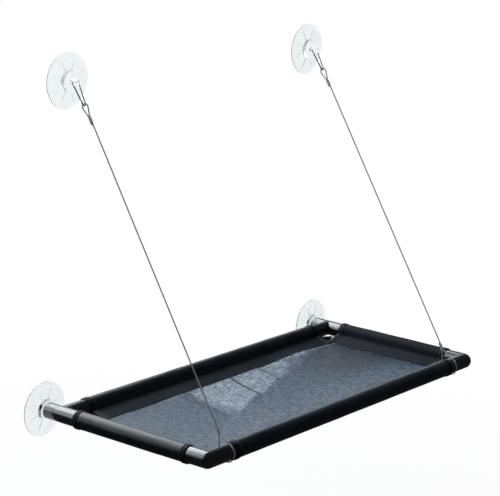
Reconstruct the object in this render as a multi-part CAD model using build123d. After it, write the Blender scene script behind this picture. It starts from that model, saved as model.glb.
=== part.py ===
from build123d import *
import os
from math import acos, asin, atan2, cos, degrees, radians, sin, tan

# Window mounted cat perch, in millimetres.
# The window glass is the plane y = 0, the room is on the -Y side, +X is to the right as seen
# from the room and +Z is up. z = 0 is the height of the frame's rail axes.

# Frame
rail_span_x = 588.0          # between the axes of the two side rails
rail_span_y = 250.0          # between the axes of the front and rear rails
rear_rail_to_glass = 34.0    # from the rear rail's axis to the window
tube_d = 22.0
tube_wall = 2.0
fitting_leg = 32.0           # from a corner's centre to the face that the tube butts against
spigot_length = 20.0
spigot_wall = 2.0
spigot_clear = 0.1           # between a spigot and the tube that it plugs into
tee_end_wall = 3.0           # the closed end of a tee, which the cup's neck passes through
tube_edge_round = 0.4

# Suction cups
cup_d = 75.0
cup_land = 4.5               # width of the flat ring that meets the glass
cup_rim_thickness = 1.0
cup_dish_depth = 1.5         # hollow under the cup at its centre
cup_disc_height = 3.0        # height of the disc's upper face where it meets the hub
cup_hub_d = 29.0
cup_hub_top_d = 26.0
cup_hub_height = 7.6
cup_hub_round = 1.0
cup_neck_d = 6.0
cup_neck_length = 3.6
cup_head_d = 8.4
cup_head_length = 7.8
cup_head_round = 2.2
cross_hole_rise = 3.0        # from the underside of the head to the axis of its cross hole
rib_count = 8
rib_reach = 33.0             # radius at which a rib runs out
rib_root_d = 2.2             # of a rib's round section, beside the hub
rib_tip_d = 1.0
rib_root_rise = 2.6          # of a rib's centre above the glass, beside the hub
rib_tip_rise = 0.75
neck_clear = 0.08            # round the neck in the tee's end wall
cup_seat_gap = 0.4           # between the hub and the end of the tee

# Wire hooks
hook_wire_d = 2.0
hook_length = 33.0           # from the cross hole's axis to the wire at the foot of the hook
hook_shoulder_half = 5.6     # from the middle to a leg's corner at the cross hole
hook_foot_half = 2.2
hook_foot_bend = 1.9
hook_shoulder_bend = 1.4
hook_tip_gap = 2.4           # between the two tips inside the cross hole
hook_pin_clear = 0.06

# Cables
rope_d = 1.8
cable_inset = 38.0           # from a side rail's axis to the cable
upper_cup_height = 436.0     # of the upper cups' axes above the rail axes
loop_clear = 0.3             # between the rope and what it loops round
strand_gap = 0.1             # between the two strands inside a ferrule
loop_apex = 25.0             # from the rail's axis to where the loop's strands meet
eye_radius = 4.8             # of the rope's centre line in the upper eye
eye_length = 13.0            # from the eye's centre to where its strands meet
flare_bend = 9.0             # where a strand leaves a ferrule for its loop
ferrule_length = 7.0
ferrule_wall = 0.5
ferrule_fit = 0.04
ferrule_standoff = 2.4       # from where the strands meet to the ferrule
crimp_depth = 0.25
crimp_width = 1.0
crimp_count = 2
rope_tail = 3.0              # cut end that shows past a ferrule

# Hammock
fabric_thickness = 0.7
sleeve_clear = 0.1           # between a sleeve and its tube
stitch_reach = 13.0          # from the rail's axis to the stitch line that closes a sleeve
stitch_fall_angle = 12.0     # of the stitch line below the rail's axis, in degrees
border_reach = 38.0          # from a rail's axis in to the floor's seam
border_drop = 9.5            # of the floor's seam below the rail axes
floor_thickness = 0.8
floor_sag = 6.0              # of the floor's middle below its seams
floor_edge_sag = 1.0         # of the floor's short edges below their ends
floor_seam_gap = 0.1
side_sleeve_inset = 28.0     # from a corner's centre to the end of a side sleeve
front_sleeve_inset = 46.0    # from a corner's centre to the end of the front sleeve
rear_sleeve_inset = 42.0     # from a corner's centre to the end of the rear sleeve
corner_gap = 0.2             # between the floor's corners and the sleeves' flaps
binding_width = 9.0
binding_thickness = 0.9
binding_groove = 1.4         # width of the groove between a binding's two ridges
binding_end_gap = 1.0        # from a binding's edge to the floor's seam

# Values worked out from the driving ones
tube_r = tube_d / 2
bore_r = tube_r - tube_wall
spigot_r = bore_r - spigot_clear
spigot_bore_r = spigot_r - spigot_wall
half_x = rail_span_x / 2
rear_y = -rear_rail_to_glass
front_y = rear_y - rail_span_y
rope_r = rope_d / 2
wire_r = hook_wire_d / 2
tee_end_y = -(cup_hub_height + cup_seat_gap)
cup_head_start = cup_hub_height + cup_neck_length
pin_depth = cup_head_start + cross_hole_rise
cable_x = half_x - cable_inset
cable_run = Vector(0, -pin_depth - front_y, upper_cup_height)
cable_length = cable_run.length - hook_length
cable_dir = cable_run.normalized()
strand_offset = rope_r + strand_gap / 2
loop_r = tube_r + loop_clear + rope_r
eye_centre = cable_length + wire_r + loop_clear + rope_r - eye_radius
sleeve_inner_r = tube_r + sleeve_clear
sleeve_outer_r = sleeve_inner_r + fabric_thickness


def tube(length):
    """A tube of the frame along +Z, centred on its middle."""
    ring = Circle(tube_r) - Circle(bore_r)
    pipe = extrude(ring, length / 2, both=True)
    ends = pipe.edges().filter_by(GeomType.CIRCLE)
    return chamfer(ends, tube_edge_round)


def leg(direction, length):
    """A rod of a fitting from the corner's centre out to the tube's end."""
    return Plane((0, 0, 0), z_dir=direction).location * extrude(Circle(tube_r), length)


def spigot(direction, start):
    """The plug that goes inside a tube, with a tapered lead-in."""
    plug = extrude(Circle(spigot_r), start + spigot_length)
    plug = chamfer(plug.edges().sort_by(Axis.Z)[-1], spigot_wall / 2)
    return Plane((0, 0, 0), z_dir=direction).location * plug


def core(direction, start):
    """The bore that lightens a leg and its spigot."""
    hole = extrude(Circle(spigot_bore_r), start + spigot_length)
    return Plane((0, 0, 0), z_dir=direction).location * hole


def elbow(side):
    """A front corner: two mitred legs with a rounded outer corner and two spigots."""
    inward = (-side, 0, 0)
    back = (0, 1, 0)
    body = leg(inward, fitting_leg) + leg(back, fitting_leg) + Sphere(tube_r)
    body += spigot(inward, fitting_leg) + spigot(back, fitting_leg)
    body -= core(inward, fitting_leg) + core(back, fitting_leg) + Sphere(spigot_bore_r)
    return Pos(side * half_x, front_y, 0) * body


def tee(side):
    """A rear corner: a run towards the window, closed but for the cup's hole, and a branch."""
    inward = (-side, 0, 0)
    front = (0, -1, 0)
    back = (0, 1, 0)
    stub = tee_end_y - rear_y
    body = leg(inward, fitting_leg) + leg(front, fitting_leg) + leg(back, stub)
    end_edge = body.edges().filter_by(GeomType.CIRCLE).sort_by(Axis.Y)[-1]
    body = fillet(end_edge, tube_edge_round)
    body += spigot(inward, fitting_leg) + spigot(front, fitting_leg)
    body -= core(inward, fitting_leg) + core(front, fitting_leg)
    cup_hole = Plane((0, 0, 0), z_dir=back).location * extrude(Circle(cup_neck_d / 2 + neck_clear), stub)
    head_room = Plane((0, 0, 0), z_dir=back).location * extrude(Circle(spigot_bore_r), stub - tee_end_wall)
    body -= cup_hole + head_room
    return Pos(side * half_x, rear_y, 0) * body


def suction_cup():
    """A cup with its rim on z = 0 and its head towards +Z, with a cross hole along X."""
    rim_r = cup_d / 2
    land_r = rim_r - cup_land
    hub_r = cup_hub_d / 2
    top_r = cup_hub_top_d / 2
    neck_r = cup_neck_d / 2
    head_r = cup_head_d / 2
    head_top = cup_head_start + cup_head_length
    dish_mid_share = 0.75
    disc_mid_share = 0.35
    underside = ThreePointArc(
        (0, cup_dish_depth), (land_r / 2, cup_dish_depth * dish_mid_share), (land_r, 0)
    )
    disc_mid = cup_rim_thickness + (cup_disc_height - cup_rim_thickness) * disc_mid_share
    upper = ThreePointArc(
        (rim_r, cup_rim_thickness), ((rim_r + hub_r) / 2, disc_mid), (hub_r, cup_disc_height)
    )
    outline = [
        underside,
        Polyline((land_r, 0), (rim_r, 0), (rim_r, cup_rim_thickness)),
        upper,
        Polyline(
            (hub_r, cup_disc_height), (top_r, cup_hub_height), (neck_r, cup_hub_height),
            (neck_r, cup_head_start), (head_r, cup_head_start), (head_r, head_top), (0, head_top),
            (0, cup_dish_depth),
        ),
    ]
    section = Plane.XZ * make_face(outline)
    cup = revolve(section, Axis.Z)
    rims = cup.edges().filter_by(GeomType.CIRCLE)
    hub_edge = rims.filter_by(lambda e: abs(e.radius - top_r) < cup_hub_round / 2)
    cup = fillet(hub_edge, cup_hub_round)
    rims = cup.edges().filter_by(GeomType.CIRCLE)
    head_edge = rims.filter_by(lambda e: abs(e.radius - head_r) < cup_hub_round / 2).sort_by(Axis.Z)[-1]
    cup = fillet(head_edge, cup_head_round)
    rib_run = Vector(rib_reach - top_r, 0, rib_tip_rise - rib_root_rise)
    rib = Cone(rib_root_d / 2, rib_tip_d / 2, rib_run.length, align=(Align.CENTER, Align.CENTER, Align.MIN))
    rib = Plane((top_r, 0, rib_root_rise), z_dir=rib_run).location * rib
    cup += [Rot(0, 0, (turn + 0.5) * 360 / rib_count) * rib for turn in range(rib_count)]
    cross_hole = Pos(0, 0, pin_depth) * Rot(0, 90, 0) * Cylinder(wire_r + hook_pin_clear, cup_head_d)
    return cup - cross_hole


def on_glass(x, z, piece):
    """Sets a cup on the window at (x, z), with its head towards the room."""
    return Plane((x, 0, z), x_dir=(1, 0, 0), z_dir=(0, -1, 0)).location * piece


def wire_hook(side):
    """A V-shaped wire hook whose two tips sit in the cup's cross hole."""
    pin = Vector(side * cable_x, -pin_depth, upper_cup_height)
    plane = Plane(pin, x_dir=(1, 0, 0), z_dir=Vector(1, 0, 0).cross(cable_dir))
    half_gap = hook_tip_gap / 2
    path = FilletPolyline(
        (-half_gap, 0), (-hook_shoulder_half, 0), (-hook_foot_half, -hook_length),
        (hook_foot_half, -hook_length), (hook_shoulder_half, 0), (half_gap, 0),
        radius=[hook_shoulder_bend, hook_foot_bend, hook_foot_bend, hook_shoulder_bend],
    )
    wire = sweep(Plane((-half_gap, 0), z_dir=(-1, 0, 0)) * Circle(wire_r), path=path)
    return plane.location * wire


def loop_points(centre, radius, apex_distance, toward):
    """Points of one strand of a loop, from the ferrule's line to the circle that it wraps.

    The loop lies round centre on the cable's line, and its strands meet apex_distance away,
    on the side that toward (+1 or -1) gives.
    """
    reach = (apex_distance ** 2 + strand_offset ** 2) ** 0.5
    angle = atan2(strand_offset, apex_distance) + acos(radius / reach)
    turn = radians(90) - angle
    setback = flare_bend * tan(turn / 2)
    contact = (centre + toward * radius * cos(angle), radius * sin(angle))
    bend_out = (
        centre + toward * (apex_distance - setback * sin(angle)), strand_offset + setback * cos(angle)
    )
    bend_in = (centre + toward * (apex_distance + setback), strand_offset)
    middle_turn = turn / 2
    bend_mid = (
        bend_in[0] - toward * flare_bend * sin(middle_turn),
        strand_offset + flare_bend * (1 - cos(middle_turn)),
    )
    return contact, bend_out, bend_mid, bend_in


def mirrored(point):
    return (point[0], -point[1])


def cable_path():
    """The rope's centre line: u runs up the cable from the rail's axis, v across it."""
    low_contact, low_out, low_mid, low_in = loop_points(0, loop_r, loop_apex, 1)
    eye = loop_points(eye_centre, eye_radius, eye_length, -1)
    eye_contact, eye_out, eye_mid, eye_in = eye
    tail_start = (loop_apex + ferrule_standoff + ferrule_length + rope_tail, -strand_offset)
    tail_end_u = eye_centre - eye_length - ferrule_standoff - ferrule_length - rope_tail
    return Wire([
        Line(tail_start, mirrored(low_in)),
        ThreePointArc(mirrored(low_in), mirrored(low_mid), mirrored(low_out)),
        Line(mirrored(low_out), mirrored(low_contact)),
        ThreePointArc(mirrored(low_contact), (-loop_r, 0), low_contact),
        Line(low_contact, low_out),
        ThreePointArc(low_out, low_mid, low_in),
        Line(low_in, eye_in),
        ThreePointArc(eye_in, eye_mid, eye_out),
        Line(eye_out, eye_contact),
        ThreePointArc(eye_contact, (eye_centre + eye_radius, 0), mirrored(eye_contact)),
        Line(mirrored(eye_contact), mirrored(eye_out)),
        ThreePointArc(mirrored(eye_out), mirrored(eye_mid), mirrored(eye_in)),
        Line(mirrored(eye_in), (tail_end_u, -strand_offset)),
    ])


def cable_plane(side):
    """The upright plane of one cable, with its x along the cable from the rail's axis."""
    return Plane((side * cable_x, front_y, 0), x_dir=cable_dir, z_dir=(1, 0, 0))


def cable(side):
    """One wire rope with a loop round the rail and an eye on the hook."""
    path = cable_path()
    start = Plane(path @ 0, z_dir=path % 0)
    rope = sweep(start * Circle(rope_r), path=path)
    return cable_plane(side).location * rope


def ferrule(side, start):
    """An oval crimped sleeve over the rope's two strands, from start up the cable."""
    def slot(radius):
        ends = Pos(0, strand_offset) * Circle(radius) + Pos(0, -strand_offset) * Circle(radius)
        return ends + Rectangle(2 * radius, 2 * strand_offset)

    bore_radius = rope_r + ferrule_fit
    outer = bore_radius + ferrule_wall
    body = extrude(slot(outer), ferrule_length)
    pitch = ferrule_length / (crimp_count + 1)
    for number in range(crimp_count):
        band = extrude(slot(outer + crimp_depth) - slot(outer - crimp_depth), crimp_width)
        body -= Pos(0, 0, (number + 1) * pitch - crimp_width / 2) * band
    body -= extrude(slot(bore_radius), ferrule_length)
    along = Plane((start, 0, 0), x_dir=(0, 0, 1), z_dir=(1, 0, 0))
    return cable_plane(side).location * (along.location * body)


def tail_corners(half_thickness, reach):
    """Corners of a sleeve's flap: its stitch line and its end, above and below the middle."""
    fall = radians(stitch_fall_angle)
    stitch = Vector(stitch_reach * cos(fall), -stitch_reach * sin(fall))
    seam = Vector(border_reach, -border_drop)
    slope = (seam - stitch).normalized()
    end = stitch + slope * ((seam - stitch).length - reach)
    up = Vector(-slope.Y, slope.X) * half_thickness
    return stitch, [stitch + up, end + up, end - up, stitch - up]


def keyhole(radius, half_thickness, end_gap):
    """The filled outline of a sleeve: a ring round the rail that narrows into a flap."""
    stitch, (top, end_top, end_low, low) = tail_corners(half_thickness, end_gap)
    spread = acos(radius / stitch.length)
    heading = atan2(stitch.Y, stitch.X)
    upper = (radius * cos(heading + spread), radius * sin(heading + spread))
    lower = (radius * cos(heading - spread), radius * sin(heading - spread))
    points = [(0, 0), lower, (low.X, low.Y), (end_low.X, end_low.Y), (end_top.X, end_top.Y),
              (top.X, top.Y), upper]
    return Circle(radius) + make_face(Polyline(*points, close=True))


def along_rail(origin, inward, axis):
    """A plane across a rail: its x points in to the bed, and its y points up."""
    return Plane(origin, x_dir=inward, z_dir=axis)


def sleeve(plane, length):
    """One sleeve of doubled fabric, centred on the rail's middle, with its flap."""
    outline = keyhole(sleeve_outer_r, fabric_thickness, 0) - Circle(sleeve_inner_r)
    return plane.location * extrude(outline, length / 2, both=True)


def bindings(plane, length):
    """The ridged tapes that bind the two ends of a sleeve."""
    inner = keyhole(sleeve_outer_r, fabric_thickness, 0)
    half = fabric_thickness + binding_thickness
    outer = keyhole(sleeve_outer_r + binding_thickness, half, binding_end_gap)
    tape = extrude(outer - inner, binding_width)
    waist = keyhole(sleeve_outer_r + binding_thickness / 2, fabric_thickness + binding_thickness / 2, 0)
    rest = Rectangle(2 * border_reach, 2 * border_reach) - waist
    groove = extrude(rest, binding_groove)
    tape -= Pos(0, 0, (binding_width - binding_groove) / 2) * groove
    near = plane.location * (Pos(0, 0, -length / 2) * tape)
    far = plane.location * (Pos(0, 0, length / 2 - binding_width) * tape)
    return near, far


def floor_panel():
    """The open-mesh floor, lofted along X so that its middle hangs below its seams."""
    flap_end = tail_corners(fabric_thickness, 0)[1][1]
    inset = flap_end.X + floor_seam_gap
    half_length = half_x - inset
    near = front_y + inset
    far = rear_y - inset
    middle = (near + far) / 2
    station_shares = [-1.0, -0.6, 0.0, 0.6, 1.0]
    sections = []
    for share in station_shares:
        sag = floor_edge_sag + (floor_sag - floor_edge_sag) * (1 - share ** 2)
        top = -border_drop + floor_thickness / 2
        low = top - floor_thickness
        outline = [
            ThreePointArc((near, top), (middle, top - sag), (far, top)),
            Line((far, top), (far, low)),
            ThreePointArc((far, low), (middle, low - sag), (near, low)),
            Line((near, low), (near, top)),
        ]
        station = Plane((share * half_length, 0, 0), x_dir=(0, 1, 0), z_dir=(1, 0, 0))
        sections.append(station * make_face(Wire(outline)))
    panel = loft(sections)
    for y, toward, sleeve_inset in ((near, -1, front_sleeve_inset), (far, 1, rear_sleeve_inset)):
        corner_length = half_length - (half_x - sleeve_inset + corner_gap)
        corner_width = inset - side_sleeve_inset
        tongue = Box(corner_length, corner_width + floor_thickness, floor_thickness)
        for side in (-1, 1):
            x = side * (half_length - corner_length / 2)
            panel += Pos(x, y + toward * (corner_width - floor_thickness) / 2, -border_drop) * tongue
    return panel


front_plane = along_rail((0, front_y, 0), (0, 1, 0), (1, 0, 0))
rear_plane = along_rail((0, rear_y, 0), (0, -1, 0), (-1, 0, 0))
middle_y = (front_y + rear_y) / 2
left_plane = along_rail((-half_x, middle_y, 0), (1, 0, 0), (0, -1, 0))
right_plane = along_rail((half_x, middle_y, 0), (-1, 0, 0), (0, 1, 0))
long_tube = rail_span_x - 2 * fitting_leg
side_tube = rail_span_y - 2 * fitting_leg
front_length = rail_span_x - 2 * front_sleeve_inset
rear_length = rail_span_x - 2 * rear_sleeve_inset
side_sleeve = rail_span_y - 2 * side_sleeve_inset
low_ferrule_start = loop_apex + ferrule_standoff
eye_ferrule_start = eye_centre - eye_length - ferrule_standoff - ferrule_length

parts = {
    "front_rail": front_plane.location * tube(long_tube),
    "rear_rail": rear_plane.location * tube(long_tube),
    "left_rail": left_plane.location * tube(side_tube),
    "right_rail": right_plane.location * tube(side_tube),
    "front_left_elbow": elbow(-1),
    "front_right_elbow": elbow(1),
    "rear_left_tee": tee(-1),
    "rear_right_tee": tee(1),
    "hammock_floor": floor_panel(),
    "front_sleeve": sleeve(front_plane, front_length),
    "rear_sleeve": sleeve(rear_plane, rear_length),
    "left_sleeve": sleeve(left_plane, side_sleeve),
    "right_sleeve": sleeve(right_plane, side_sleeve),
    "front_sleeve_bindings": Compound(bindings(front_plane, front_length)),
    "rear_sleeve_bindings": Compound(bindings(rear_plane, rear_length)),
    "left_sleeve_bindings": Compound(bindings(left_plane, side_sleeve)),
    "right_sleeve_bindings": Compound(bindings(right_plane, side_sleeve)),
    "lower_left_cup": on_glass(-half_x, 0, suction_cup()),
    "lower_right_cup": on_glass(half_x, 0, suction_cup()),
}
for name, side in (("left", -1), ("right", 1)):
    parts[f"upper_{name}_cup"] = on_glass(side * cable_x, upper_cup_height, suction_cup())
    parts[f"{name}_hook"] = wire_hook(side)
    parts[f"{name}_cable"] = cable(side)
    parts[f"{name}_lower_ferrule"] = ferrule(side, low_ferrule_start)
    parts[f"{name}_upper_ferrule"] = ferrule(side, eye_ferrule_start)

os.makedirs("parts", exist_ok=True)
for node, piece in parts.items():
    export_step(piece, f"parts/{node}.step")
print("rope length", round(cable_path().length, 1))
print("cable angle", round(degrees(asin(cable_dir.Z)), 2))
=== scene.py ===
"""Dresses a window mounted cat perch: its fabric, steel ropes, finishes, camera and studio.

All lengths are metres. The window glass is the plane y = 0, the room is on the -Y side, +X is to
the right as seen from the room, +Z is up, and z = 0 is the height of the frame's rail axes.
"""
import math

import bpy
from mathutils import Matrix, Vector, noise


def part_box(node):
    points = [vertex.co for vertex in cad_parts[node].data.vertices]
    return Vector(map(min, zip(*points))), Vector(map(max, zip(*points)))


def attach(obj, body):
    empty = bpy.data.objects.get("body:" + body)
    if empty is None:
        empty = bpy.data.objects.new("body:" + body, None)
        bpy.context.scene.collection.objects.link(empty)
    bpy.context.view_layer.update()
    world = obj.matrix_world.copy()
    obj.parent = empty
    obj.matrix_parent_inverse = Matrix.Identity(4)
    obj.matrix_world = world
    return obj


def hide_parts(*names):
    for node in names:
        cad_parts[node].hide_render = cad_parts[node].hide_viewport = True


bl_info = {
    "name": "Window mounted cat perch",
    "version": (1, 0, 0),
    "blender": (4, 5, 0),
    "location": "View3D > Sidebar > Cat perch",
    "description": "Adds the fabric, ropes, finishes, camera and studio round the perch's solid parts",
    "category": "Object",
}

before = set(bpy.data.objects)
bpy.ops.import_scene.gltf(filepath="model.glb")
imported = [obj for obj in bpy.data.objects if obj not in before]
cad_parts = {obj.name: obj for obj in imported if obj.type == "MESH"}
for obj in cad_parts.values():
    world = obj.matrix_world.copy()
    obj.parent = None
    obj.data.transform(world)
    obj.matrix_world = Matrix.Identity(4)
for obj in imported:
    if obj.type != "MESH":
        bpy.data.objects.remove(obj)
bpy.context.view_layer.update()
mm = 0.001


def middle_of(node):
    low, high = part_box(node)
    return (low + high) / 2


def size_of(node):
    low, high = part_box(node)
    return high - low


# Sizes of the solid parts that their boxes don't give: the hooks' tips from the glass, the gap
# between tube and sleeve, where a sleeve's flap is stitched, and where it ends
glass_to_pin = 14.2 * mm
sleeve_clear = 0.1 * mm
stitch_reach = 13.0 * mm
stitch_fall = math.radians(12)
border_drop = 9.5 * mm
border_reach = 38.0 * mm

# Sizes and places that the solid parts settle
tube_r = size_of("front_rail").z / 2
half_x = middle_of("right_rail").x
front_y = middle_of("front_rail").y
rear_y = middle_of("rear_rail").y
middle_y = (front_y + rear_y) / 2
cable_x = middle_of("right_cable").x
cup_z = middle_of("upper_right_cup").z

# A flap's section, in towards the bed and up from the rail's axis: its stitch line, its end, and
# the direction up from its cloth
stitch = Vector((stitch_reach * math.cos(stitch_fall), -stitch_reach * math.sin(stitch_fall)))
seam = Vector((border_reach, -border_drop))
flap_run = (seam - stitch).normalized()
flap_up = Vector((-flap_run.y, flap_run.x))

# Steps along a sleeve's section: round the rail, and along each side of the flap
steps_round = 40
steps_flap = 12

# A rail's middle, the direction in to the bed, and the direction along it
rails = {
    "front": (Vector((0, front_y, 0)), Vector((0, 1, 0)), Vector((1, 0, 0))),
    "rear": (Vector((0, rear_y, 0)), Vector((0, -1, 0)), Vector((-1, 0, 0))),
    "left": (Vector((-half_x, middle_y, 0)), Vector((1, 0, 0)), Vector((0, -1, 0))),
    "right": (Vector((half_x, middle_y, 0)), Vector((-1, 0, 0)), Vector((0, 1, 0))),
}

# Seeds of the noise in each rail's cloth: in the waves of its flap, and in its skin on the rail
wave_seeds = {"front": 3.1, "rear": 7.7, "left": 12.3, "right": 18.9}
skin_seeds = {"front": 9.0, "rear": 18.0, "left": 27.0, "right": 36.0}


def hex_to_linear(code):
    """A colour written as sRGB hex, in Blender's linear values."""
    values = [int(code[start:start + 2], 16) / 255 for start in (0, 2, 4)]
    return tuple(v / 12.92 if v <= 0.04045 else ((v + 0.055) / 1.055) ** 2.4 for v in values)


def opaque(colour):
    return (*colour, 1.0)


def length_property(name, description, default, low, high):
    """A length for the panel, given in millimetres."""
    return bpy.props.FloatProperty(
        name=name, description=description, default=default * mm, min=low * mm, max=high * mm,
        unit="LENGTH", precision=5)


def colour_property(name, description, code):
    """A colour for the panel, given as sRGB hex."""
    return bpy.props.FloatVectorProperty(
        name=name, description=description, default=hex_to_linear(code),
        size=3, subtype="COLOR", min=0, max=1)


class PerchSizes(bpy.types.PropertyGroup):
    """Sizes of the soft and fine pieces."""

    fabric_thickness: length_property("Fabric thickness", "Of one layer of a sleeve", 0.7, 0.2, 2)
    thread_pitch: length_property(
        "Mesh thread pitch", "From thread to thread of the open-mesh floor", 4.2, 0.8, 6)
    floor_sag: length_property("Floor sag", "Of the floor's lowest point below its seams", 3.5, 0, 12)
    pleat_share: bpy.props.FloatProperty(
        name="Pleats", description="Share of the full height of the floor's pleats",
        default=1.0, min=0.0, max=2.0)
    crumple_height: length_property("Crumple height", "Of the floor's fine unevenness", 0.35, 0, 2)
    stitch_length: length_property("Stitch length", "Of one stitch of the seams", 3.0, 1, 8)
    thread_d: length_property(
        "Sewing thread diameter", "Of the bonded thread in the seams", 0.6, 0.2, 1.5)
    rope_d: length_property("Rope diameter", "Of the steel rope over its strands", 1.8, 1, 3)
    rope_lay: length_property(
        "Rope lay", "Length in which a strand goes once round the rope", 10, 4, 30)


class PerchColours(bpy.types.PropertyGroup):
    """Colours of the finishes."""

    plastic: colour_property("Plastic", "Of the tubes and their fittings", "0A0D12")
    sleeve: colour_property("Sleeves", "Of the doubled fabric round the rails", "121822")
    floor_mesh: colour_property("Mesh floor", "Of the open-mesh floor's coated threads", "46566A")
    # A paler colour for the floor's threads, mixed in where a sheen is painted on them
    floor_painted_sheen: colour_property(
        "Mesh floor, rubbed", "Of the floor's threads where they are burnished pale", "8D99A6")
    tape: colour_property("Binding tape", "Of the tapes at the sleeves' ends", "0D0E11")
    thread: colour_property("Sewing thread", "Of the seams", "2A2E36")
    cup: colour_property("Cups", "Tint of the clear suction cups", "F4FAFB")
    rope: colour_property("Rope", "Of the galvanised ropes", "DDE1E5")
    steel: colour_property("Steel", "Of the wire hooks", "CDD0D4")
    ferrule: colour_property("Ferrules", "Of the crimped sleeves on the ropes", "D9DADC")


def sizes():
    return bpy.context.scene.perch_sizes


def colours():
    return bpy.context.scene.perch_colours


def add_node(tree, kind, inputs=None, **settings):
    """Adds a node with its settings. An input takes a value, a socket or a node's first output."""
    node = tree.nodes.new(kind)
    for name, value in settings.items():
        setattr(node, name, value)
    for key, value in (inputs or {}).items():
        if isinstance(value, bpy.types.Node):
            value = value.outputs[0]
        if isinstance(value, bpy.types.NodeSocket):
            tree.links.new(value, node.inputs[key])
        else:
            node.inputs[key].default_value = value
    return node


def new_material(name):
    material = bpy.data.materials.new(name)
    material.use_nodes = True
    material.node_tree.nodes.clear()
    return material


def show(material, shader):
    """Sends a shader to the material's output."""
    add_node(material.node_tree, "ShaderNodeOutputMaterial", {"Surface": shader})
    return material


def grained(tree, place, size, detail, strength, depth):
    """A normal roughened by a fine grain of a size and a depth."""
    grain = add_node(tree, "ShaderNodeTexNoise", {"Vector": place, "Scale": 1 / size, "Detail": detail})
    return add_node(tree, "ShaderNodeBump", {"Height": grain, "Strength": strength, "Distance": depth})


def smeared(tree, place, patch, low, high):
    """Roughness that goes from low to high in soft patches of a size."""
    patches = add_node(tree, "ShaderNodeTexNoise", {"Vector": place, "Scale": 1 / patch, "Detail": 5.0})
    return add_node(tree, "ShaderNodeMapRange",
                    {"Value": patches, "From Min": 0.35, "From Max": 0.7, "To Min": low, "To Max": high})


def gloss_plastic(name, grain_size):
    """Black PVC. The skin is smooth and glossy, with a faint grain that softens its reflections."""
    material = new_material(name)
    tree = material.node_tree
    place = add_node(tree, "ShaderNodeTexCoord").outputs["Object"]
    shader = add_node(tree, "ShaderNodeBsdfPrincipled",
                      {"Base Color": opaque(colours().plastic), "IOR": 1.53, "Specular IOR Level": 0.9,
                       "Roughness": smeared(tree, place, patch=60 * mm, low=0.14, high=0.28),
                       "Normal": grained(tree, place, grain_size, 3.0, strength=0.12, depth=0.06 * mm)})
    return show(material, shader)


def weave(tree, place, pitch, swing):
    """A plain weave, whose threads rise and dip by a share of their height where they cross.

    Returns the nearness to the middle of a warp thread and of a weft thread, and the relief.
    """
    cell = add_node(tree, "ShaderNodeVectorMath", {0: place, "Scale": math.pi / pitch}, operation="SCALE")
    across = add_node(tree, "ShaderNodeVectorMath", {0: cell}, operation="COSINE")
    warp, weft, _ = add_node(tree, "ShaderNodeSeparateXYZ", {0: across}).outputs
    over = add_node(tree, "ShaderNodeMath", {0: warp, 1: weft}, operation="MULTIPLY")
    threads = []
    tops = []
    for thread, rise in ((warp, swing), (weft, -swing)):
        near = add_node(tree, "ShaderNodeMath", {0: thread, 1: 2.0}, operation="POWER")
        level = add_node(tree, "ShaderNodeMath", {0: over, 1: rise, 2: 1 - swing}, operation="MULTIPLY_ADD")
        top = add_node(tree, "ShaderNodeMath", {0: near, 1: level}, operation="MULTIPLY")
        threads.append(near)
        tops.append(top)
    relief = add_node(tree, "ShaderNodeMath", {0: tops[0], 1: tops[1]}, operation="MAXIMUM")
    return (*threads, relief)


def woven_cloth(name, colour, pitch, roughness, specular, shade_spread):
    """Woven coated polyester. Its round threads catch light along the weave and scatter the rest, and the
    weave's dips are painted darker into its colour.
    """
    material = new_material(name)
    tree = material.node_tree
    uv = add_node(tree, "ShaderNodeUVMap", uv_map="metres")
    height = weave(tree, uv, pitch, swing=0.4)[2]
    shade = add_node(tree, "ShaderNodeTexNoise",
                     {"Vector": uv, "Scale": 1 / (16 * mm), "Detail": 5.0, "Roughness": 0.75})
    # Thread tops are painted lighter and the dips between them darker: a painted shade of the weave's
    # relief
    depth = add_node(tree, "ShaderNodeMapRange",
                     {"Value": height, "From Max": 0.9, "To Min": 0.4, "To Max": 1.3})
    blotch = add_node(tree, "ShaderNodeMapRange",
                      {"Value": shade, "From Min": 0.3, "From Max": 0.7,
                       "To Min": 1 - shade_spread, "To Max": 1 + shade_spread})
    factor = add_node(tree, "ShaderNodeMath", {0: depth, 1: blotch}, operation="MULTIPLY")
    tint = add_node(tree, "ShaderNodeVectorMath", {0: tuple(colour), "Scale": factor}, operation="SCALE")
    bump = add_node(tree, "ShaderNodeBump", {"Height": height, "Strength": 0.35, "Distance": 0.25 * mm})
    shader = add_node(tree, "ShaderNodeBsdfPrincipled",
                      {"Base Color": tint, "Roughness": roughness, "IOR": 1.5,
                       "Specular IOR Level": specular, "Normal": bump})
    return show(material, shader)


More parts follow.
